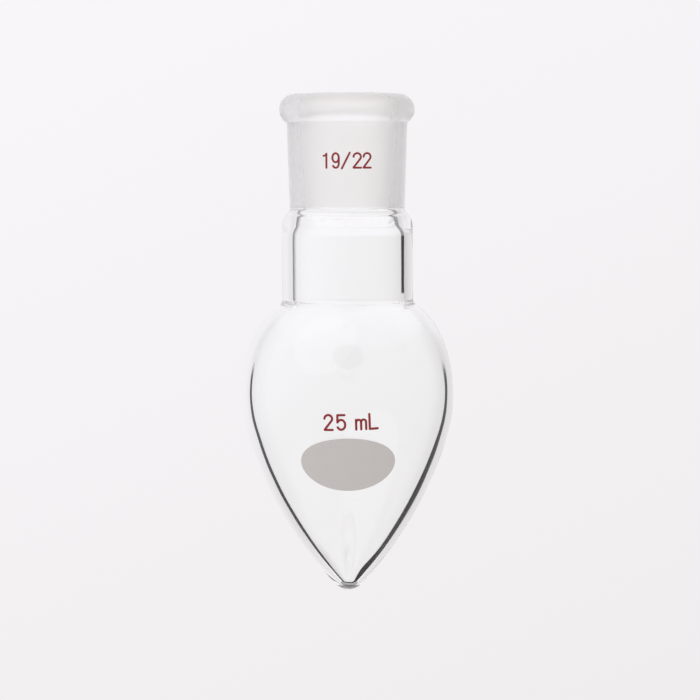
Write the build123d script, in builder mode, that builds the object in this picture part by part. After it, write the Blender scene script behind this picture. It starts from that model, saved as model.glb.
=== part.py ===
"""Pear-shaped 25 mL flask with a 19/22 ground socket, blown and fused in one piece.

All sizes are in millimetres. The axis is Z. The origin is the centre of the rim, at the
socket's large end, and the flask hangs below it, as it does from the joint that carries it.
"""

import os
from math import acos, atan2, degrees, radians, sin, sqrt

from build123d import *

# Ground socket: a bore with a 1:10 taper, as long as its ground zone
ground_large_d = 18.8
ground_length = 22.0
ground_taper = 1 / 10
mouth_chamfer = 0.2
socket_top_wall = 2.05
socket_end_wall = 2.6

# Rolled bead round the rim, outside the rim's narrow flat ring
rim_flat = 0.45
bead_round = 3.0
under_bead_fillet = 0.8

# Neck tube: it stands out past the socket, and its end is drawn in and fused to the socket's end
neck_step = 1.5
neck_wall = 1.85
neck_length = 17.5
weld_round = 4.4
inner_weld_round = 7.0
weld_fillet = 0.5
bore_end_fillet = 0.8
neck_fillet = 1.2
inner_neck_fillet = 1.5

# Pear-shaped bulb: four arcs, each tangent to the next, from the neck down to the tip
belly_d = 40.0
belly_to_tip = 37.1
shoulder_round = 16.0
shoulder_turn = 20.0
belly_round = 27.8
flank_round = 70.0
tip_round = 3.4
bulb_wall = 1.3


def direction(start, end):
    """Angle in degrees of the line from start to end, 0 being straight out from the axis."""
    return degrees(atan2(end.Y - start.Y, end.X - start.X))


def centre_holding(belly, belly_radius, tip, tip_radius, radius):
    """Centre of the arc of this radius that touches both circles and holds them inside it."""
    to_belly = radius - belly_radius
    to_tip = radius - tip_radius
    gap = (tip - belly).length
    corner = acos((gap**2 + to_belly**2 - to_tip**2) / (2 * gap * to_belly))
    return belly + (tip - belly).normalized().rotate(Axis.Z, -degrees(corner)) * to_belly


# Radii and heights that follow from the sizes above
bore_top = ground_large_d / 2
bore_end = bore_top - ground_taper * ground_length / 2
socket_top = bore_top + socket_top_wall
socket_end = bore_end + socket_end_wall
bead_middle = bore_top + rim_flat
neck_out = socket_end + neck_step
neck_in = neck_out - neck_wall
belly_out = belly_d / 2
weld_z = -ground_length
shoulder_z = weld_z - neck_length

# Centres of the pear's arcs, first measured from the belly's widest place
shoulder_centre = Vector(belly_out - belly_round, 0)
shoulder_centre += Vector(belly_round - shoulder_round, 0).rotate(Axis.Z, shoulder_turn)
shoulder_drop = shoulder_centre.Y + sqrt(shoulder_round**2 - (neck_out - shoulder_centre.X) ** 2)
belly_z = shoulder_z - shoulder_drop
tip_z = belly_z - belly_to_tip

shoulder_centre += Vector(0, belly_z)
belly_centre = Vector(belly_out - belly_round, belly_z)
tip_centre = Vector(0, tip_z + tip_round)
flank_centre = centre_holding(belly_centre, belly_round, tip_centre, tip_round, flank_round)
flank_start = direction(flank_centre, belly_centre)
flank_end = direction(flank_centre, tip_centre)


def pear_arcs(inset, neck_radius):
    """Draws the pear from the neck to the tip, this far inside its outer face."""
    reach = shoulder_round - inset
    neck_end = degrees(acos((neck_radius - shoulder_centre.X) / reach))
    shoulder = CenterArc(shoulder_centre, reach, neck_end, shoulder_turn - neck_end)
    CenterArc(belly_centre, belly_round - inset, shoulder_turn, flank_start - shoulder_turn)
    CenterArc(flank_centre, flank_round - inset, flank_start, flank_end - flank_start)
    tip = CenterArc(tip_centre, tip_round - inset, flank_end, -90 - flank_end)
    return shoulder @ 0, tip @ 1


def weld_arc(narrow, wide, radius):
    """Draws the step from the socket's radius out to the neck's, tangent to the neck."""
    opening = degrees(acos((radius - wide + narrow) / radius))
    drop = radius * sin(radians(opening))
    return CenterArc((wide - radius, weld_z - drop), radius, opening, -opening)


with BuildPart() as flask:
    with BuildSketch(Plane.XZ) as glass_wall:
        with BuildLine():
            # Outside, from the mouth down to the tip
            rim = Line((bore_top, 0), (bead_middle, 0))
            bead_end = -degrees(acos((socket_top - bead_middle) / bead_round))
            bead = CenterArc((bead_middle, -bead_round), bead_round, 90, bead_end - 90)
            weld = weld_arc(socket_end, neck_out, weld_round)
            Line(bead @ 1, weld @ 0)
            outer_neck_end, outer_tip = pear_arcs(0, neck_out)
            Line(weld @ 1, outer_neck_end)

            # Inside, from the mouth down to the tip
            inner_weld = weld_arc(bore_end, neck_in, inner_weld_round)
            Line(rim @ 0, inner_weld @ 0)
            inner_neck_end, inner_tip = pear_arcs(bulb_wall, neck_in)
            Line(inner_weld @ 1, inner_neck_end)
            Line(outer_tip, inner_tip)
        make_face()

        def corner_at(point):
            return glass_wall.vertices().sort_by_distance(point)[0]

        fillet(corner_at(bead @ 1), under_bead_fillet)
        fillet(corner_at(weld @ 0), weld_fillet)
        fillet(corner_at(outer_neck_end), neck_fillet)
        fillet(corner_at(inner_weld @ 0), bore_end_fillet)
        fillet(corner_at(inner_neck_end), inner_neck_fillet)
        chamfer(corner_at(rim @ 0), mouth_chamfer)
    revolve(axis=Axis.Z)

flask.part.label = "flask"

os.makedirs("parts", exist_ok=True)
export_step(flask.part, "parts/flask.step")
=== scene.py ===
"""Pear-shaped 25 mL flask with a 19/22 ground socket: blown glass, fired-on marks, studio.

The flask's lengths are in millimetres and are turned to metres where a mesh is made. The
studio's are in metres. The axis is Z, the origin is the centre of the rim, and the printed side
faces -Y.
"""

from math import acos, atan2, ceil, cos, degrees, exp, hypot, pi, radians, sin, sqrt, tan

import bmesh
import bpy
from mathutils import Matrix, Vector


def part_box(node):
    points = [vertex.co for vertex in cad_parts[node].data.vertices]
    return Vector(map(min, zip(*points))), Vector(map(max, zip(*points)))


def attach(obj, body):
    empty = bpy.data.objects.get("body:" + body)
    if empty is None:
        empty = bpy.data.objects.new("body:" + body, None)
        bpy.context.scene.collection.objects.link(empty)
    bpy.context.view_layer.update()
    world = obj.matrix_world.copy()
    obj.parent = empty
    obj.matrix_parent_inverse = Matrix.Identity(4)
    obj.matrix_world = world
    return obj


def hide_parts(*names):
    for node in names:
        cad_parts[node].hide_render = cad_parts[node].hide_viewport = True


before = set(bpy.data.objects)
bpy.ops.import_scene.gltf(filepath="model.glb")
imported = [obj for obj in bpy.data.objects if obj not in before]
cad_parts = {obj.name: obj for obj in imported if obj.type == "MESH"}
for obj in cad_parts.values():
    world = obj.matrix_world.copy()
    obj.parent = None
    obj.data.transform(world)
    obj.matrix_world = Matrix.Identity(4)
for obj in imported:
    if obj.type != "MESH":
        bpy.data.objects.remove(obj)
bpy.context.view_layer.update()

MM = 0.001

# Ground socket
ground_large_d = 18.8
ground_length = 22.0
ground_taper = 1 / 10
ground_end_z = -21.7
mouth_chamfer = 0.2
socket_top_wall = 2.05
socket_end_wall = 2.6

# Rolled bead round the rim
rim_flat = 0.45
bead_round = 3.0
under_bead_fillet = 0.8

# Neck tube, drawn in and fused to the socket's end
neck_step = 1.5
neck_wall = 1.85
neck_length = 17.5
weld_round = 4.4
inner_weld_round = 7.0
weld_fillet = 0.5
bore_end_fillet = 0.8
neck_fillet = 1.2
inner_neck_fillet = 1.5

# Pear-shaped bulb
belly_d = 40.0
belly_to_tip = 37.1
shoulder_round = 16.0
shoulder_turn = 20.0
belly_round = 27.8
flank_round = 70.0
tip_round = 3.4
bulb_wall = 1.3

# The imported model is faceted, so the visual one is narrowed by this much to stay inside its box
low_corner, high_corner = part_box("flask")
fit = min(-low_corner.x, -low_corner.y, high_corner.x, high_corner.y) / (belly_d / 2 * MM)

# What blowing by hand leaves in the wall: a lean to the right and soft waves, which fade in below
# the weld, and faint ridges at the weld. Round the axis, the waves follow a circle of this radius
# through the noise that they are made from
bore_lean = 0.14
wall_waviness = 0.05
wall_wave_size = 9.0
wave_circle = 2.0
wave_detail = 1.0
wave_seed = 4.0
blown_fade = 4.0
seam_heights = (-22.75, -23.6)
seam_depth = 0.05
seam_half_width = 0.17

# How finely the wall is made
turns_round_axis = 224
arc_spacing = 0.75
line_spacing = 0.9
bead_spacing = 0.3
weld_spacing = 0.3
inner_weld_spacing = 0.12
rim_spacing = 0.2
finest_turn = 3.0
fillet_steps = 8
merge_distance = 0.002

# Radii and heights that follow
bore_top = ground_large_d / 2
bore_end = bore_top - ground_taper * ground_length / 2
socket_top = bore_top + socket_top_wall
socket_end = bore_end + socket_end_wall
bead_middle = bore_top + rim_flat
neck_out = socket_end + neck_step
neck_in = neck_out - neck_wall
belly_out = belly_d / 2
weld_z = -ground_length
shoulder_z = weld_z - neck_length


def turned(vector, angle):
    """A 2-D vector turned by this angle in degrees."""
    c = cos(radians(angle))
    s = sin(radians(angle))
    return Vector((vector.x * c - vector.y * s, vector.x * s + vector.y * c))


def direction(start, end):
    """Angle in degrees of the line from start to end, 0 being straight out from the axis."""
    return degrees(atan2(end.y - start.y, end.x - start.x))


def centre_holding(belly, belly_radius, tip, tip_radius, radius):
    """Centre of the arc of this radius that touches both circles and holds them inside it."""
    to_belly = radius - belly_radius
    to_tip = radius - tip_radius
    gap = (tip - belly).length
    corner = acos((gap**2 + to_belly**2 - to_tip**2) / (2 * gap * to_belly))
    return belly + turned((tip - belly).normalized(), -degrees(corner)) * to_belly


# Centres of the pear's arcs, first measured from the belly's widest place
shoulder_centre = Vector((belly_out - belly_round, 0))
shoulder_centre += turned(Vector((belly_round - shoulder_round, 0)), shoulder_turn)
shoulder_drop = shoulder_centre.y + sqrt(shoulder_round**2 - (neck_out - shoulder_centre.x) ** 2)
belly_z = shoulder_z - shoulder_drop
tip_z = belly_z - belly_to_tip

shoulder_centre += Vector((0, belly_z))
belly_centre = Vector((belly_out - belly_round, belly_z))
tip_centre = Vector((0, tip_z + tip_round))
flank_centre = centre_holding(belly_centre, belly_round, tip_centre, tip_round, flank_round)
flank_start = direction(flank_centre, belly_centre)
flank_end = direction(flank_centre, tip_centre)


def arc(centre, radius, start, turn, spacing=arc_spacing):
    """Points along an arc, no further apart than the spacing, or than the finest turn in degrees."""
    by_length = ceil(radians(abs(turn)) * radius / spacing)
    by_angle = ceil(abs(turn) / finest_turn)
    count = max(2, by_length, by_angle)
    return [centre + turned(Vector((radius, 0)), start + turn * k / count) for k in range(count + 1)]


def line(start, end, spacing=line_spacing):
    """Points along a straight run."""
    count = max(1, ceil((end - start).length / spacing))
    return [start.lerp(end, k / count) for k in range(count + 1)]


def cut_back(run, reach):
    """The run without its last stretch of this length."""
    run = list(run)
    while len(run) > 2 and (run[-1] - run[-2]).length < reach:
        reach -= (run[-1] - run[-2]).length
        run.pop()
    last = run.pop()
    return run + [last + (run[-1] - last).normalized() * reach]


def joined(before, after, fillet):
    """One run made of two that share a corner, with the corner rounded to this radius."""
    corner = after[0]
    into = (corner - before[-2]).normalized()
    out = (after[1] - corner).normalized()
    reach = fillet * tan(into.angle(out) / 2)
    before = cut_back(before, reach)
    after = cut_back(after[::-1], reach)[::-1]
    rounded = []
    for k in range(1, fillet_steps):
        t = k / fillet_steps
        rounded.append(before[-1] * (1 - t) ** 2 + corner * 2 * t * (1 - t) + after[0] * t**2)
    return before + rounded + after


def pear_run(inset, neck_radius):
    """The pear from the neck to the tip, this far inside its outer face."""
    reach = shoulder_round - inset
    neck_end = degrees(acos((neck_radius - shoulder_centre.x) / reach))
    run = arc(shoulder_centre, reach, neck_end, shoulder_turn - neck_end)
    run += arc(belly_centre, belly_round - inset, shoulder_turn, flank_start - shoulder_turn)[1:]
    run += arc(flank_centre, flank_round - inset, flank_start, flank_end - flank_start)[1:]
    run += arc(tip_centre, tip_round - inset, flank_end, -90 - flank_end)[1:]
    return run


def weld_run(narrow, wide, radius, spacing):
    """The step from the socket's radius out to the neck's, tangent to the neck."""
    opening = degrees(acos((radius - wide + narrow) / radius))
    drop = radius * sin(radians(opening))
    return arc(Vector((wide - radius, weld_z - drop)), radius, opening, -opening, spacing)


def outer_run():
    """The outside of the flask, from the rim's flat ring down to the tip."""
    bead_end = -degrees(acos((socket_top - bead_middle) / bead_round))
    bead = arc(Vector((bead_middle, -bead_round)), bead_round, 90, bead_end - 90, bead_spacing)
    weld = weld_run(socket_end, neck_out, weld_round, weld_spacing)
    pear = pear_run(0, neck_out)
    run = joined(bead, line(bead[-1], weld[0]), under_bead_fillet)
    run = joined(run, weld, weld_fillet)
    run = run[:-1] + line(weld[-1], pear[0])
    return joined(run, pear, neck_fillet)


def inner_run():
    """The inside of the flask, from the mouth down to the tip."""
    weld = weld_run(bore_end, neck_in, inner_weld_round, inner_weld_spacing)
    pear = pear_run(bulb_wall, neck_in)
    bore_start = Vector((bore_top - ground_taper * mouth_chamfer / 2, -mouth_chamfer))
    run = joined(line(bore_start, weld[0]), weld, bore_end_fillet)
    run = run[:-1] + line(weld[-1], pear[0])
    return joined(run, pear, inner_neck_fillet)


def with_seams(run):
    """The inner wall with the faint ridges left where the two tubes were fused."""
    ridged = []
    for p in run:
        ridge = sum(exp(-(((p.y - z) / seam_half_width) ** 2)) for z in seam_heights)
        ridged.append(Vector((p.x - seam_depth * ridge, p.y)))
    return ridged


outside = outer_run()
inside = with_seams(inner_run())
rim = line(Vector((bore_top + mouth_chamfer, 0)), outside[0], rim_spacing)


def smoothly(value, low, high):
    """0 below low, 1 above high, and an even ramp with soft ends between."""
    t = min(1, max(0, (value - low) / (high - low)))
    return t * t * (3 - 2 * t)


def section_object():
    """The wall's section as a line of points, from the inner tip round the rim to the outer tip."""
    points = inside[::-1] + rim[:-1] + outside
    inner_count = len(inside)
    mesh = bpy.data.meshes.new("wall_section")
    edges = [(k, k + 1) for k in range(len(points) - 1)]
    mesh.from_pydata([(p.x * fit * MM, 0, p.y * MM) for p in points], edges, [])
    inner = mesh.attributes.new("inner_wall", "FLOAT", "POINT")
    ground = mesh.attributes.new("ground", "FLOAT", "POINT")
    blown = mesh.attributes.new("blown", "FLOAT", "POINT")
    for k, p in enumerate(points):
        is_inner = k < inner_count
        inner.data[k].value = 1.0 if is_inner else 0.0
        ground.data[k].value = 1.0 if is_inner and p.y > ground_end_z else 0.0
        blown.data[k].value = smoothly(weld_z - p.y, 0, blown_fade) if is_inner else 0.0
    piece = bpy.data.objects.new("wall_section", mesh)
    bpy.context.scene.collection.objects.link(piece)
    return piece


class Tree:
    """Short words for adding and linking nodes."""

    def __init__(self, nodes, links):
        self.nodes = nodes
        self.links = links

    def add(self, kind, **settings):
        node = self.nodes.new(kind)
        for name, value in settings.items():
            setattr(node, name, value)
        return node

    def link(self, source, target):
        self.links.new(source, target)

    def math(self, operation, first, second=None):
        node = self.add("ShaderNodeMath", operation=operation)
        self.feed(node.inputs[0], first)
        self.feed(node.inputs[1], second)
        return node.outputs[0]

    def feed(self, socket, value):
        if value is None:
            return
        if isinstance(value, bpy.types.NodeSocket):
            self.link(value, socket)
        else:
            socket.default_value = value


def lathe_tree():
    """Turns a section line into a closed blown wall, with a lean and soft waves inside."""
    group = bpy.data.node_groups.new("Blown wall", "GeometryNodeTree")
    sockets = group.interface
    sockets.new_socket("Section", in_out="INPUT", socket_type="NodeSocketGeometry")
    sockets.new_socket("Turns", in_out="INPUT", socket_type="NodeSocketInt")
    sockets.new_socket("Lean", in_out="INPUT", socket_type="NodeSocketVector")
    sockets.new_socket("Waviness", in_out="INPUT", socket_type="NodeSocketFloat")
    sockets.new_socket("Wave size", in_out="INPUT", socket_type="NodeSocketFloat")
    sockets.new_socket("Wave circle", in_out="INPUT", socket_type="NodeSocketFloat")
    sockets.new_socket("Seed", in_out="INPUT", socket_type="NodeSocketFloat")
    sockets.new_socket("Glass", in_out="INPUT", socket_type="NodeSocketMaterial")
    sockets.new_socket("Wall", in_out="OUTPUT", socket_type="NodeSocketGeometry")

    t = Tree(group.nodes, group.links)
    given = t.add("NodeGroupInput").outputs
    size = t.add("GeometryNodeAttributeDomainSize", component="MESH")
    t.link(given["Section"], size.inputs[0])
    rows = t.math("ADD", given["Turns"], 1)
    grid = t.add("GeometryNodeMeshGrid")
    t.link(size.outputs["Point Count"], grid.inputs["Vertices X"])
    t.link(rows, grid.inputs["Vertices Y"])

    index = t.add("GeometryNodeInputIndex").outputs[0]
    along = t.math("FLOOR", t.math("DIVIDE", index, rows))
    around = t.math("MODULO", index, rows)
    angle = t.math("MULTIPLY", t.math("DIVIDE", around, given["Turns"]), 2 * pi)

    def sampled(kind, value):
        node = t.add("GeometryNodeSampleIndex", data_type=kind, domain="POINT")
        t.link(given["Section"], node.inputs["Geometry"])
        t.link(value, node.inputs["Value"])
        t.link(along, node.inputs["Index"])
        return node.outputs[0]

    def named(name):
        node = t.add("GeometryNodeInputNamedAttribute", data_type="FLOAT")
        node.inputs["Name"].default_value = name
        return node.outputs["Attribute"]

    place = t.add("ShaderNodeSeparateXYZ")
    t.link(sampled("FLOAT_VECTOR", t.add("GeometryNodeInputPosition").outputs[0]), place.inputs[0])
    blown = sampled("FLOAT", named("blown"))

    cosine = t.math("COSINE", angle)
    sine = t.math("SINE", angle)

    # Soft waves, fading out at the axis so that the pole stays one point
    spot = t.add("ShaderNodeCombineXYZ")
    t.link(t.math("MULTIPLY", cosine, given["Wave circle"]), spot.inputs["X"])
    t.link(t.math("MULTIPLY", sine, given["Wave circle"]), spot.inputs["Y"])
    t.link(t.math("DIVIDE", place.outputs["Z"], given["Wave size"]), spot.inputs["Z"])
    noise = t.add("ShaderNodeTexNoise", noise_dimensions="4D")
    t.link(spot.outputs[0], noise.inputs["Vector"])
    t.link(given["Seed"], noise.inputs["W"])
    noise.inputs["Scale"].default_value = 1.0
    noise.inputs["Detail"].default_value = wave_detail
    wave = t.math("MULTIPLY", t.math("SUBTRACT", noise.outputs[0], 0.5), given["Waviness"])
    near_axis = t.math("MINIMUM", t.math("DIVIDE", place.outputs["X"], given["Wave size"]), 1.0)
    wave = t.math("MULTIPLY", t.math("MULTIPLY", wave, blown), near_axis)
    radius = t.math("ADD", place.outputs["X"], wave)

    point = t.add("ShaderNodeCombineXYZ")
    t.link(t.math("MULTIPLY", radius, cosine), point.inputs["X"])
    t.link(t.math("MULTIPLY", radius, sine), point.inputs["Y"])
    t.link(place.outputs["Z"], point.inputs["Z"])
    lean = t.add("ShaderNodeVectorMath", operation="SCALE")
    t.link(given["Lean"], lean.inputs[0])
    t.link(blown, lean.inputs["Scale"])
    total = t.add("ShaderNodeVectorMath", operation="ADD")
    t.link(point.outputs[0], total.inputs[0])
    t.link(lean.outputs[0], total.inputs[1])

    last = grid.outputs["Mesh"]
    for name in ("inner_wall", "ground"):
        store = t.add("GeometryNodeStoreNamedAttribute", data_type="FLOAT", domain="POINT")
        t.link(last, store.inputs["Geometry"])
        store.inputs["Name"].default_value = name
        t.link(sampled("FLOAT", named(name)), store.inputs["Value"])
        last = store.outputs[0]
    move = t.add("GeometryNodeSetPosition")
    t.link(last, move.inputs["Geometry"])
    t.link(total.outputs[0], move.inputs["Position"])
    merge = t.add("GeometryNodeMergeByDistance")
    t.link(move.outputs[0], merge.inputs["Geometry"])
    merge.inputs["Distance"].default_value = merge_distance * MM
    smooth = t.add("GeometryNodeSetShadeSmooth")
    t.link(merge.outputs[0], smooth.inputs["Geometry"])
    real = t.add("GeometryNodeRealizeInstances")
    t.link(smooth.outputs[0], real.inputs[0])
    paint = t.add("GeometryNodeSetMaterial")
    t.link(real.outputs[0], paint.inputs["Geometry"])
    t.link(given["Glass"], paint.inputs["Material"])
    t.link(paint.outputs[0], t.add("NodeGroupOutput").inputs["Wall"])
    return group


def made_by_tree(name, source, group, values):
    """Shapes the source object by a node tree and keeps the result as a plain mesh."""
    modifier = source.modifiers.new("shape", "NODES")
    modifier.node_group = group
    for socket in group.interface.items_tree:
        if socket.in_out == "INPUT" and socket.name in values:
            modifier[socket.identifier] = values[socket.name]
    bpy.context.view_layer.update()
    shaped = source.evaluated_get(bpy.context.evaluated_depsgraph_get())
    mesh = bpy.data.meshes.new_from_object(shaped)
    mesh.name = name
    source.modifiers.remove(modifier)
    bpy.data.objects.remove(source)
    piece = bpy.data.objects.new(name, mesh)
    bpy.context.scene.collection.objects.link(piece)
    return piece


def ramped(t, value, low, high, at_low=0.0, at_high=1.0, kind="SMOOTHSTEP"):
    """A value's ramp from one level to another, with soft ends unless its kind is LINEAR."""
    node = t.add("ShaderNodeMapRange", interpolation_type=kind)
    t.feed(node.inputs["Value"], value)
    t.feed(node.inputs["From Min"], low)
    t.feed(node.inputs["From Max"], high)
    t.feed(node.inputs["To Min"], at_low)
    t.feed(node.inputs["To Max"], at_high)
    return node.outputs[0]


def mixed(t, factor, first, second, kind="FLOAT"):
    """The first value, or colour, where the factor is 0, and the second where it is 1."""
    node = t.add("ShaderNodeMix", data_type=kind)
    t.feed(node.inputs["Factor"], factor)
    t.feed(node.inputs["A"], first)
    t.feed(node.inputs["B"], second)
    return node.outputs["Result"]


def new_material(name):
    """A material, with its tree and its shader."""
    material = bpy.data.materials.new(name)
    material.use_nodes = True
    t = Tree(material.node_tree.nodes, material.node_tree.links)
    return material, t, t.nodes["Principled BSDF"]


def grain_group():
    """The height of a fine grain over a surface, from 0 to the amount given."""
    group = bpy.data.node_groups.new("Fine grain", "ShaderNodeTree")
    sockets = group.interface
    sockets.new_socket("Scale", in_out="INPUT", socket_type="NodeSocketFloat")
    sockets.new_socket("Amount", in_out="INPUT", socket_type="NodeSocketFloat")
    sockets.new_socket("Height", in_out="OUTPUT", socket_type="NodeSocketFloat")
    t = Tree(group.nodes, group.links)
    given = t.add("NodeGroupInput").outputs
    noise = t.add("ShaderNodeTexNoise")
    t.link(t.add("ShaderNodeTexCoord").outputs["Object"], noise.inputs["Vector"])
    t.link(given["Scale"], noise.inputs["Scale"])
    height = t.math("MULTIPLY", noise.outputs[0], given["Amount"])
    t.link(height, t.add("NodeGroupOutput").inputs["Height"])
    return group


# Grain of the ground glass and the enamel
fine_grain = grain_group()
grain_height = 0.01


def add_grain(t, shader, scale, amount, strength):
    """Gives a material the fine grain, as a bump of its surface."""
    grain = t.add("ShaderNodeGroup", node_tree=fine_grain)
    t.feed(grain.inputs["Scale"], scale)
    t.feed(grain.inputs["Amount"], amount)
    bump = t.add("ShaderNodeBump")
    bump.inputs["Distance"].default_value = grain_height * MM
    bump.inputs["Strength"].default_value = strength
    t.link(grain.outputs["Height"], bump.inputs["Height"])
    t.link(bump.outputs[0], shader.inputs["Normal"])


# Clear glass, ground in the socket, where it is a little warmer, and paler as painted light that
# brightens the frost
glass_index = 1.473
clear_colour = (0.985, 0.99, 0.987, 1)
ground_tint_and_painted_light = (1.0, 0.99, 0.98, 1)
ground_roughness = 0.4
ground_grain_scale = 6000
ground_grain_strength = 1.0

# The dark line along the inner wall is painted shade: a dark coat at grazing angles, standing in
# for the shade at the glass's edges. Here is what it leaves of the light, and where across the
# flask it passes from its look on the left to its look on the right
painted_line_tint = (0.12, 0.125, 0.12, 1)
left_to_right = (-3.0, 3.0)

# How strong the painted shade line is. Each pair of heights runs from where a change begins to
# where it ends. The line is lost round the shoulder
bulb_line_heights = (-50.5, -54.5)
left_neck_heights = (-40.2, -39.2)
left_neck_strength = 0.62
right_neck_heights = (-38.0, -37.6)
right_weld_heights = (-26.8, -27.2)
right_weld_strength = 0.4

# How nearly edge on light has to be for the painted shade line to start, from 0 for square to 1
# for edge on. The pairs go from the belly to the tip, where the line is wider. It is painted wider
# on the right, and soft on the left of the neck
flank_heights = (-58.0, -88.0)
left_starts = (0.80, 0.67)
right_starts = (0.77, 0.58)
neck_heights = (-40.0, -39.0)
left_neck_widening = 0.2
right_neck_widening = 0.1
right_tip_heights = (-85.0, -92.0)
right_tip_widening = 0.24
line_softness = 0.02
left_neck_softness = 0.3

# The glass under the tip is thick, and its grey look there is painted shade on the outer face
painted_tip_shade_heights = (-92.85, -93.1)
painted_tip_shade_strength = 0.6


def grazing_in_air(t):
    """How nearly edge on light is on the air side of a face, 0 to 1, and whether it passes there.

    Light that comes from inside the glass bends as it leaves, and the law of refraction gives
    its angle in the air.
    """
    cosine = t.math("SUBTRACT", 1, t.add("ShaderNodeLayerWeight").outputs["Facing"])
    sine_squared = t.math("SUBTRACT", 1, t.math("MULTIPLY", cosine, cosine))
    bent = t.math("MULTIPLY", sine_squared, glass_index**2)
    from_glass = t.add("ShaderNodeNewGeometry").outputs["Backfacing"]
    in_air = mixed(t, from_glass, sine_squared, bent)
    passes = t.math("LESS_THAN", in_air, 1)
    cosine_squared = t.math("MAXIMUM", t.math("SUBTRACT", 1, in_air), 0)
    grazing = t.math("SUBTRACT", 1, t.math("SQRT", cosine_squared))
    return grazing, passes


def painted_shade_line(t, across, height):
    """How strongly the painted shade darkens a place on the inner wall, for light at this angle to
    it.
    """
    side = ramped(t, across, *left_to_right)

    # Strength
    bulb = ramped(t, height, *bulb_line_heights)
    left_neck = t.math("MULTIPLY", ramped(t, height, *left_neck_heights), left_neck_strength)
    below_weld = ramped(t, height, *right_weld_heights, right_weld_strength, 1.0)
    right_neck = t.math("MULTIPLY", ramped(t, height, *right_neck_heights), below_weld)
    strength = t.math("MAXIMUM", bulb, mixed(t, side, left_neck, right_neck))

    # Width
    neck = ramped(t, height, *neck_heights)
    left = ramped(t, height, *flank_heights, *left_starts, "LINEAR")
    left = t.math("SUBTRACT", left, t.math("MULTIPLY", neck, left_neck_widening))
    right = ramped(t, height, *flank_heights, *right_starts, "LINEAR")
    right = t.math("SUBTRACT", right, t.math("MULTIPLY", neck, right_neck_widening))
    tip = ramped(t, height, *right_tip_heights, 0.0, right_tip_widening)
    start = mixed(t, side, left, t.math("SUBTRACT", right, tip))
    left_softness = t.math("ADD", t.math("MULTIPLY", neck, left_neck_softness), line_softness)
    softness = mixed(t, side, left_softness, line_softness)

    grazing, passes = grazing_in_air(t)
    edge = ramped(t, grazing, start, t.math("ADD", start, softness))
    return t.math("MULTIPLY", t.math("MULTIPLY", edge, passes), strength)


def flask_glass():
    """Clear glass, ground in the socket, with painted shade at grazing angles inside and under the
    tip.
    """
    material, t, shader = new_material("flask_glass")
    shader.inputs["IOR"].default_value = glass_index
    shader.inputs["Transmission Weight"].default_value = 1.0

    inner = t.add("ShaderNodeAttribute", attribute_name="inner_wall").outputs["Fac"]
    ground = t.add("ShaderNodeAttribute", attribute_name="ground").outputs["Fac"]
    where = t.add("ShaderNodeSeparateXYZ")
    t.link(t.add("ShaderNodeTexCoord").outputs["Object"], where.inputs[0])
    across = t.math("DIVIDE", where.outputs["X"], MM)
    height = t.math("DIVIDE", where.outputs["Z"], MM)

    # A coat without refraction only darkens the glass, and so paints the shade line and the grey
    # under the tip
    clear_inner = t.math("MULTIPLY", inner, t.math("SUBTRACT", 1, ground))
    painted_line = t.math("MULTIPLY", painted_shade_line(t, across, height), clear_inner)
    # Painted grey shade on the outer face under the tip
    painted_tip_shade = ramped(t, height, *painted_tip_shade_heights, 0.0, painted_tip_shade_strength)
    painted_tip_shade = t.math("MULTIPLY", painted_tip_shade, t.math("SUBTRACT", 1, inner))
    t.link(t.math("MAXIMUM", painted_line, painted_tip_shade), shader.inputs["Coat Weight"])
    shader.inputs["Coat IOR"].default_value = 1.0
    shader.inputs["Coat Roughness"].default_value = 0.0
    shader.inputs["Coat Tint"].default_value = painted_line_tint

    # Finish of the ground socket, whose paler colour is painted light
    t.link(mixed(t, ground, clear_colour, ground_tint_and_painted_light, "RGBA"), shader.inputs["Base Color"])
    t.link(t.math("MULTIPLY", ground, ground_roughness), shader.inputs["Roughness"])
    add_grain(t, shader, ground_grain_scale, ground, ground_grain_strength)
    return material


# Fired enamel
enamel_cloud_scale = 500
enamel_cloud_detail = 3
enamel_grain_scale = 9000
enamel_grain_strength = 0.5


def enamel(name, colour, patchy, roughness):
    """Fired enamel: slightly uneven in colour, with a fine matt grain."""
    material, t, shader = new_material(name)
    cloud = t.add("ShaderNodeTexNoise")
    t.link(t.add("ShaderNodeTexCoord").outputs["Object"], cloud.inputs["Vector"])
    cloud.inputs["Scale"].default_value = enamel_cloud_scale
    cloud.inputs["Detail"].default_value = enamel_cloud_detail
    deeper = [c * (1 - patchy) for c in colour]
    uneven = mixed(t, cloud.outputs[0], (*colour, 1), (*deeper, 1), "RGBA")
    t.link(uneven, shader.inputs["Base Color"])
    shader.inputs["Roughness"].default_value = roughness
    add_grain(t, shader, enamel_grain_scale, 1.0, enamel_grain_strength)
    return material


# A drawing is laid on a cone round the axis. Where the wall is upright, the cone leans this little
least_lean = 0.001


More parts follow.
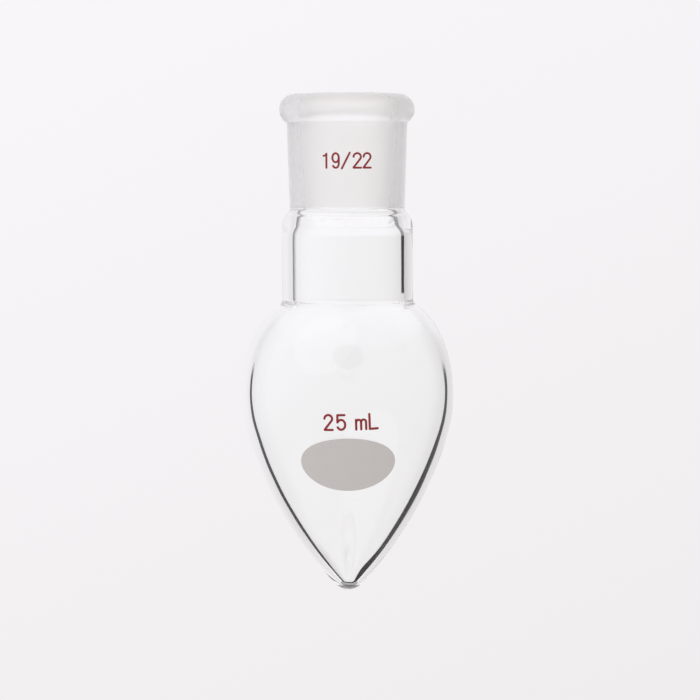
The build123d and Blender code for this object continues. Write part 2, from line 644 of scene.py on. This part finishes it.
class Wrap:
    """Lays a flat drawing on the outside of the flask, as a transfer is laid before firing."""

    def __init__(self, z, shift=0.0, tilt=0.0):
        self.tilt = tilt
        self.shift = shift
        lengths = [0.0]
        for a, b in zip(outside, outside[1:]):
            lengths.append(lengths[-1] + (b - a).length)
        self.lengths = lengths
        k = next(k for k in range(len(outside) - 1) if outside[k + 1].y < z <= outside[k].y)
        part = (outside[k].y - z) / (outside[k].y - outside[k + 1].y)
        self.start = lengths[k] + part * (lengths[k + 1] - lengths[k])
        place, slope = self.at(self.start)
        self.lean = max(least_lean, -slope.x / slope.length)
        self.apex = place.x / self.lean

    def at(self, length):
        """The outline's point at this length along it, and its direction there."""
        last = len(outside) - 1
        k = next((k for k in range(1, last) if self.lengths[k] > length), last)
        part = (length - self.lengths[k - 1]) / (self.lengths[k] - self.lengths[k - 1])
        run = outside[k] - outside[k - 1]
        return outside[k - 1] + run * part, run.normalized()

    def __call__(self, u, v, lift):
        """The place of the flat point (u, v), this far out from the glass."""
        flat = turned(Vector((u, v)), self.tilt)
        reach = hypot(flat.x, self.apex + flat.y)
        azimuth = atan2(flat.x, self.apex + flat.y) / self.lean
        place, run = self.at(self.start - (reach - self.apex))
        azimuth += self.shift / place.x
        out = Vector((-run.y, run.x)).normalized()
        place = place + out * lift
        return (place.x * sin(azimuth) * MM, -place.x * cos(azimuth) * MM, place.y * MM)


# Enamel is fused to the glass, so its underside lies just inside the surface
enamel_under = -0.02
enamel_over = 0.03

# How finely a mark is made
cap_angles = [80, 60, 40, 20]
sign_bend_turn = 12
stroke_spacing = 0.25


def add_stroke(mesh, path, width, wrap):
    """A painted stroke with round ends along a flat path."""
    path = [Vector(p) for p in path]
    half = width / 2
    cuts = []
    first = (path[0] - path[1]).normalized()
    last = (path[-1] - path[-2]).normalized()
    caps = [(half * sin(radians(a)), half * cos(radians(a))) for a in cap_angles]
    for reach, side in caps:
        cuts.append((path[0] + first * reach, -first, side))
    for k, p in enumerate(path):
        before = path[max(k - 1, 0)]
        after = path[min(k + 1, len(path) - 1)]
        cuts.append((p, (after - before).normalized(), half))
    for reach, side in caps[::-1]:
        cuts.append((path[-1] + last * reach, last, side))
    rings = []
    for place, along, side in cuts:
        aside = Vector((-along.y, along.x)) * side
        left = place + aside
        right = place - aside
        over = [(left, enamel_over), (right, enamel_over)]
        under = [(right, enamel_under), (left, enamel_under)]
        rings.append([mesh.verts.new(wrap(*corner, lift)) for corner, lift in over + under])
    for a, b in zip(rings, rings[1:]):
        for k in range(4):
            mesh.faces.new((a[k], a[(k + 1) % 4], b[(k + 1) % 4], b[k]))
    mesh.faces.new(rings[0][::-1])
    mesh.faces.new(rings[-1])


def bend(x, y, rx, ry, start, turn):
    """Points along part of an ellipse."""
    count = max(3, ceil(abs(turn) / sign_bend_turn))
    angles = [radians(start + turn * k / count) for k in range(count + 1)]
    return [(x + rx * cos(a), y + ry * sin(a)) for a in angles]


def subdivided(path):
    """The path with no two points further apart than a stroke's spacing."""
    fine = [Vector(path[0])]
    for p in path[1:]:
        p = Vector(p)
        count = max(1, ceil((p - fine[-1]).length / stroke_spacing))
        start = fine[-1]
        fine += [start.lerp(p, k / count) for k in range(1, count + 1)]
    return fine


# Centre lines of the figures and letters, in mm from the lower left of each
cap_height = 2.85


def one():
    return [[(0.05, 2.35), (0.45, 2.4), (0.64, 2.75)], [(0.64, 2.75), (0.64, 0)]]


def two():
    top = bend(0.73, 2.13, 0.73, 0.72, 178, -203)
    return [top + [(0.02, 0.08)], [(0, 0), (1.5, 0)]]


def nine():
    loop = bend(0.66, 1.97, 0.64, 0.88, 0, 360)
    tail = [(1.3, 1.97), (1.3, 1.2)] + bend(0.68, 0.75, 0.6, 0.75, 10, -160)
    return [loop, tail]


def slash():
    return [[(0, -0.12), (1.55, 2.95)]]


def five():
    bowl = [(0.1, 1.45)] + bend(0.78, 0.98, 0.76, 0.94, 120, -270)
    return [[(0.12, 2.82), (1.45, 2.82)], [(0.12, 2.82), (0.1, 1.45)], bowl]


def small_m():
    first = [(0, 1.35)] + bend(0.48, 1.45, 0.46, 0.4, 150, -150) + [(0.94, 0)]
    second = [(0.94, 1.35)] + bend(1.42, 1.45, 0.46, 0.4, 150, -150) + [(1.88, 0)]
    return [[(0, 0), (0, 1.85)], first, second]


def capital_l():
    return [[(0, cap_height), (0.02, 0)], [(0.02, 0), (1.55, 0)]]


def printed(name, signs, size, width, wrap, material):
    """One printed mark: each sign's strokes, with the whole mark centred on the wrap's place."""
    length = max(x + max(p[0] for path in strokes for p in path) for strokes, x in signs)
    mesh = bmesh.new()
    for strokes, x in signs:
        for path in strokes:
            flat = [((p[0] + x - length / 2) * size, (p[1] - cap_height / 2) * size) for p in path]
            add_stroke(mesh, subdivided(flat), width, wrap)
    return finished(name, mesh, material)


def finished(name, mesh, material):
    """A plain object from a drawn mesh, with its faces turned outwards."""
    bmesh.ops.recalc_face_normals(mesh, faces=mesh.faces)
    data = bpy.data.meshes.new(name)
    mesh.to_mesh(data)
    mesh.free()
    data.materials.append(material)
    piece = bpy.data.objects.new(name, data)
    bpy.context.scene.collection.objects.link(piece)
    return piece


# The oval patch. Its edge, from this part of its width outwards, drops by this much
patch_z = -70.15
patch_half_width = 9.2
patch_half_height = 5.3
patch_sides = 96
patch_rings = 16
patch_edge_start = 0.985
patch_edge_drop = 0.012


def marking_patch(material):
    """The oval patch for pencil notes, wrapped on the flank, with a bevelled edge."""
    wrap = Wrap(patch_z)
    mesh = bmesh.new()
    rings = [k / patch_rings for k in range(1, patch_rings)] + [patch_edge_start, 1.0]
    layers = {}
    for lift in (enamel_over, enamel_under):
        middle = mesh.verts.new(wrap(0, 0, lift))
        loops = []
        for part in rings:
            drop = patch_edge_drop if part == 1.0 and lift == enamel_over else 0
            loop = []
            for k in range(patch_sides):
                a = 2 * pi * k / patch_sides
                u = patch_half_width * part * cos(a)
                v = patch_half_height * part * sin(a)
                loop.append(mesh.verts.new(wrap(u, v, lift - drop)))
            loops.append(loop)
        for k in range(patch_sides):
            n = (k + 1) % patch_sides
            mesh.faces.new((middle, loops[0][k], loops[0][n]))
            for a, b in zip(loops, loops[1:]):
                mesh.faces.new((a[k], b[k], b[n], a[n]))
        layers[lift] = loops[-1]
    top = layers[enamel_over]
    under = layers[enamel_under]
    for k in range(patch_sides):
        n = (k + 1) % patch_sides
        mesh.faces.new((top[k], under[k], under[n], top[n]))
    return finished("marking_patch", mesh, material)


# The marks: each sign's strokes and how far along the line of print it stands
socket_mark_z = -12.9
socket_mark_size = 0.96
socket_mark_width = 0.38
socket_signs = [(one(), 0), (nine(), 1.85), (slash(), 3.75), (two(), 6.05), (two(), 8.05)]
volume_mark_z = -62.1
volume_mark_size = 1.0
volume_mark_width = 0.44
volume_mark_shift = 0.6
volume_mark_tilt = 1.6
volume_signs = [(two(), 0), (five(), 2.35), (small_m(), 5.95), (capital_l(), 8.5)]

glass = flask_glass()
red = enamel("red_fired_enamel", colour=(0.27, 0.006, 0.009), patchy=0.2, roughness=0.5)
white = enamel("matt_white_enamel", colour=(0.56, 0.535, 0.51), patchy=0.05, roughness=0.75)

flask = made_by_tree(
    "flask_glass",
    section_object(),
    lathe_tree(),
    {
        "Turns": turns_round_axis,
        "Lean": (bore_lean * MM, 0, 0),
        "Waviness": wall_waviness * MM,
        "Wave size": wall_wave_size * MM,
        "Wave circle": wave_circle,
        "Seed": wave_seed,
        "Glass": glass,
    },
)
socket_wrap = Wrap(socket_mark_z)
volume_wrap = Wrap(volume_mark_z, volume_mark_shift, volume_mark_tilt)
socket_mark = printed(
    "socket_size_mark", socket_signs, socket_mark_size, socket_mark_width, socket_wrap, red
)
volume_mark = printed(
    "volume_mark", volume_signs, volume_mark_size, volume_mark_width, volume_wrap, red
)
patch = marking_patch(white)

for piece, slot in (
    (flask, "clear_glass"),
    (socket_mark, "red_enamel"),
    (volume_mark, "red_enamel"),
    (patch, "white_enamel"),
):
    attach(piece, "root")
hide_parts("flask")


# Floor, well below the flask. It is whole out to a part of its radius, and then fades out
floor_radius = 0.45
floor_whole_part = 0.45
floor_depth = 0.26
floor_sides = 128
floor_colour = (0.86, 0.855, 0.85, 1)
floor_roughness = 0.9


def studio_floor():
    """A pale round floor that fades out at its edge."""
    mesh = bmesh.new()
    bmesh.ops.create_circle(mesh, cap_ends=True, segments=floor_sides, radius=floor_radius)
    bmesh.ops.translate(mesh, verts=mesh.verts, vec=(0, 0, -floor_depth))
    data = bpy.data.meshes.new("floor")
    mesh.to_mesh(data)
    mesh.free()
    material, t, shader = new_material("pale_floor")
    shader.inputs["Base Color"].default_value = floor_colour
    shader.inputs["Roughness"].default_value = floor_roughness
    length = t.add("ShaderNodeVectorMath", operation="LENGTH")
    flat = t.add("ShaderNodeVectorMath", operation="MULTIPLY")
    t.link(t.add("ShaderNodeTexCoord").outputs["Object"], flat.inputs[0])
    flat.inputs[1].default_value = (1, 1, 0)
    t.link(flat.outputs[0], length.inputs[0])
    whole_radius = floor_radius * floor_whole_part
    fade = ramped(t, length.outputs["Value"], floor_radius, whole_radius)
    t.link(fade, shader.inputs["Alpha"])
    data.materials.append(material)
    floor = bpy.data.objects.new("floor", data)
    bpy.context.scene.collection.objects.link(floor)


# Tone of the backdrop, from its lower right to its upper left
backdrop_low = (0.84, 0.82, 0.82, 1)
backdrop_high = (0.97, 0.95, 0.98, 1)
backdrop_slant = 0.45
backdrop_reach = 0.12

# Light from round the object: degrees to the right of straight behind it, and the level there. The
# two ends come first, because the ramp is made with them
panel_levels = [
    (-180, 1.02),
    (180, 1.02),
    (-110, 1.04),
    (-70, 1.04),
    (-52, 0.86),
    (-45, 0.8),
    (-37, 0.82),
    (-27, 0.93),
    (-18, 0.91),
    (-11, 0.97),
    (-5, 1.0),
    (5, 1.0),
    (11, 0.96),
    (18, 0.89),
    (27, 0.91),
    (37, 0.8),
    (45, 0.72),
    (52, 0.7),
    (72, 0.98),
    (110, 1.04),
]

# Light from above, by the height of its direction
overhead_level = 1.04
overhead_heights = (0.3, 0.55)


def studio_world():
    """A backdrop with a faint slope of tone, and pale light from all round for the object."""
    world = bpy.data.worlds.new("studio")
    bpy.context.scene.world = world
    world.use_nodes = True
    t = Tree(world.node_tree.nodes, world.node_tree.links)
    back = t.nodes["Background"]
    way = t.add("ShaderNodeSeparateXYZ")
    t.link(t.add("ShaderNodeTexCoord").outputs["Generated"], way.inputs[0])

    slant = t.math("MULTIPLY", way.outputs["X"], backdrop_slant)
    across = t.math("SUBTRACT", way.outputs["Z"], slant)
    tone = ramped(t, across, -backdrop_reach, backdrop_reach)
    t.link(mixed(t, tone, backdrop_low, backdrop_high, "RGBA"), back.inputs["Color"])

    # The light is duller to each side of the backdrop, which draws the glass's edges. The camera
    # itself sees only the backdrop's tone
    azimuth = t.math("ARCTAN2", way.outputs["X"], way.outputs["Y"])
    turn = t.math("ADD", t.math("DIVIDE", azimuth, 2 * pi), 0.5)
    panels = t.add("ShaderNodeValToRGB")
    t.link(turn, panels.inputs["Fac"])
    stops = panels.color_ramp.elements
    made_with = len(stops)
    for k, (angle, level) in enumerate(panel_levels):
        place = angle / 360 + 0.5
        stop = stops[k] if k < made_with else stops.new(place)
        stop.position = place
        stop.color = (level, level, level, 1)
    overhead = ramped(t, way.outputs["Z"], *overhead_heights, 0.0, overhead_level)
    light = t.math("MAXIMUM", panels.outputs["Color"], overhead)
    camera_ray = t.add("ShaderNodeLightPath").outputs["Is Camera Ray"]
    t.link(mixed(t, camera_ray, light, 1.0), back.inputs["Strength"])


# The lamp stands in front of the flask, above and to the left
lamp_place = (-0.9, -1.2, 1.5)
lamp_aim = (0, 0, -0.05)
lamp_width = 2.8
lamp_power = 6.0


def front_lamp():
    """The one lamp of the studio, large and soft."""
    data = bpy.data.lights.new("front_lamp", "AREA")
    data.shape = "DISK"
    data.size = lamp_width
    data.energy = lamp_power
    lamp = bpy.data.objects.new("front_lamp", data)
    lamp.location = lamp_place
    towards = Vector(lamp_aim) - Vector(lamp_place)
    lamp.rotation_euler = towards.to_track_quat("-Z", "Y").to_euler()
    bpy.context.scene.collection.objects.link(lamp)


# Camera, about level with the flask's middle and far off with a long lens, to match the
# photograph. Its roll is in degrees, and its sensor's width in millimetres
camera_distance = 1.9
camera_x = 0.00043
camera_z = -0.04855
camera_roll = 0.2
frame_width = 0.13245
sensor_width = 36


def photo_camera():
    """A camera whose picture is as wide as the frame, measured at the flask."""
    data = bpy.data.cameras.new("camera")
    data.sensor_width = sensor_width
    data.lens = sensor_width * camera_distance / frame_width
    camera = bpy.data.objects.new("camera", data)
    camera.location = (camera_x, -camera_distance, camera_z)
    camera.rotation_euler = (radians(90), radians(camera_roll), 0)
    bpy.context.scene.collection.objects.link(camera)
    bpy.context.scene.camera = camera


# Light is led round inside the glass wall for a long way before it leaves
light_bounces = 40

studio_floor()
studio_world()
front_lamp()
photo_camera()
bpy.context.scene.view_settings.view_transform = "Standard"
bpy.context.scene.cycles.max_bounces = light_bounces
bpy.context.scene.cycles.glossy_bounces = light_bounces
bpy.context.scene.cycles.transmission_bounces = light_bounces
